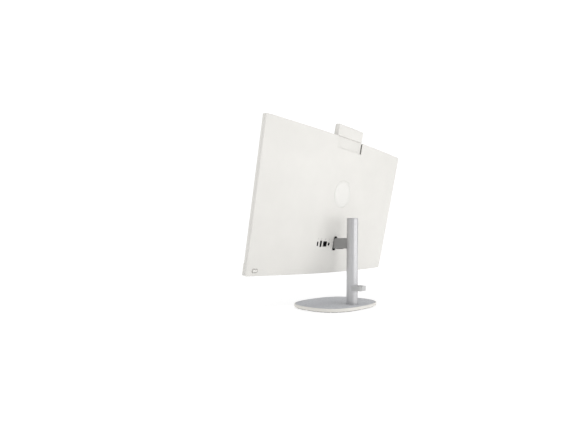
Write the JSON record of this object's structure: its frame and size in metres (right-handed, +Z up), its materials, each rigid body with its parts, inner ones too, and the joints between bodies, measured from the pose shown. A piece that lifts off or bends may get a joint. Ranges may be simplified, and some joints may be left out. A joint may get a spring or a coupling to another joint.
{
  "type": "all-in-one desktop computer",
  "caption": "All-in-one desktop computer: wide display with a crowned white back, pop-up webcam, tilt hinge on a round aluminium pole, and a weighted base with a knit inlay.",
  "frame": {"origin": "centre of the base, on the surface it stands on", "axes": "+Z up, the screen faces -Y, +X is the user's right"},
  "size_m": [0.613, 0.18, 0.4942],
  "materials": {
    "white_housing": "warm off-white moulded plastic, fine satin texture",
    "gloss_badge": "polished white",
    "knit_inlay": "blue-grey flecked knit",
    "steel": "zinc-plated or painted steel",
    "black_rubber": "matt black rubber",
    "satin_aluminium": "satin anodised, fine lines round the tube",
    "arm_grey": "painted mid grey",
    "clip_grey": "grey moulded plastic",
    "screen_glass": "black behind clear glass, anti-glare",
    "panel_module": "screen module, glass and film stack",
    "black_plastic": "black moulded plastic",
    "circuit_board": "green solder mask",
    "copper": "bare copper"
  },
  "bodies": {
    "stand": {"base_shell": "white_housing", "base_weight": "steel", "foot_ring": "black_rubber", "base_inlay": "knit_inlay", "stand_bolt": "steel", "pole_plug": "steel", "pole_tube": "satin_aluminium", "pole_cap": "satin_aluminium", "arm_core": "steel", "arm_lock_screw": "steel", "tilt_arm": "arm_grey", "cable_clip": "clip_grey"},
    "display": {"rear_cover": "white_housing", "front_frame": "white_housing", "display_glass": "screen_glass", "lcd_panel": "panel_module", "chin_cover": "white_housing", "display_chassis": "steel", "badge_disc": "gloss_badge", "hinge_bolt": "steel", "hinge_nut": "steel", "hinge_shroud": "black_plastic", "mainboard": "circuit_board", "power_switch": "black_plastic", "fan_housing": "black_plastic", "heatsink_fins": "satin_aluminium", "heat_pipe": "copper", "camera_latch": "black_plastic", "speaker_grille_right": "white_housing", "speaker_right": "black_plastic", "hinge_bracket_right": "steel", "camera_rail_right": "black_plastic", "speaker_grille_left": "white_housing", "speaker_left": "black_plastic", "hinge_bracket_left": "steel", "camera_rail_left": "black_plastic", "small_data_port": "black_plastic", "video_port": "black_plastic", "network_port": "black_plastic", "data_port_1": "black_plastic", "data_port_2": "black_plastic", "data_port_3": "black_plastic", "data_port_4": "black_plastic", "dc_in_port": "black_plastic", "audio_port": "black_plastic", "cpu_cold_plate": "copper", "memory_module_1": "circuit_board", "memory_module_2": "circuit_board", "solid_state_drive": "circuit_board", "wireless_card": "circuit_board"},
    "fan": {"fan_rotor": "black_plastic"},
    "button": {"power_button": "white_housing"},
    "camera_slider": {"camera_carrier": "white_housing", "camera_hinge_pin": "steel"},
    "camera_head": {"camera_head_shell": "white_housing", "camera_face": "white_housing", "camera_lens": "black_plastic", "camera_board": "circuit_board"}
  },
  "joints": [
    {"name": "display_tilt", "type": "hinge", "parent": "stand", "child": "display", "pos_m": [0, -0.0161, 0.1771], "axis": [1, 0, 0], "range_deg": [-9, 15]},
    {"name": "fan_spin", "type": "hinge", "parent": "display", "child": "fan", "pos_m": [0.176, -0.00638, 0.25772], "axis": [0, 0.982, -0.1891], "continuous": true},
    {"name": "power_press", "type": "slide", "parent": "display", "child": "button", "axis": [0, -0.982, 0.1891], "range_m": [0, 0.001], "stiffness_N_per_m": 800, "springref_m": -0.0005},
    {"name": "camera_lift", "type": "slide", "parent": "display", "child": "camera_slider", "axis": [0, 0.1891, 0.982], "range_m": [-0.0308, 0]},
    {"name": "camera_tilt", "type": "hinge", "parent": "camera_slider", "child": "camera_head", "pos_m": [0, 0.0419, 0.46719], "axis": [1, 0, 0], "range_deg": [-15, 0]}
  ]
}
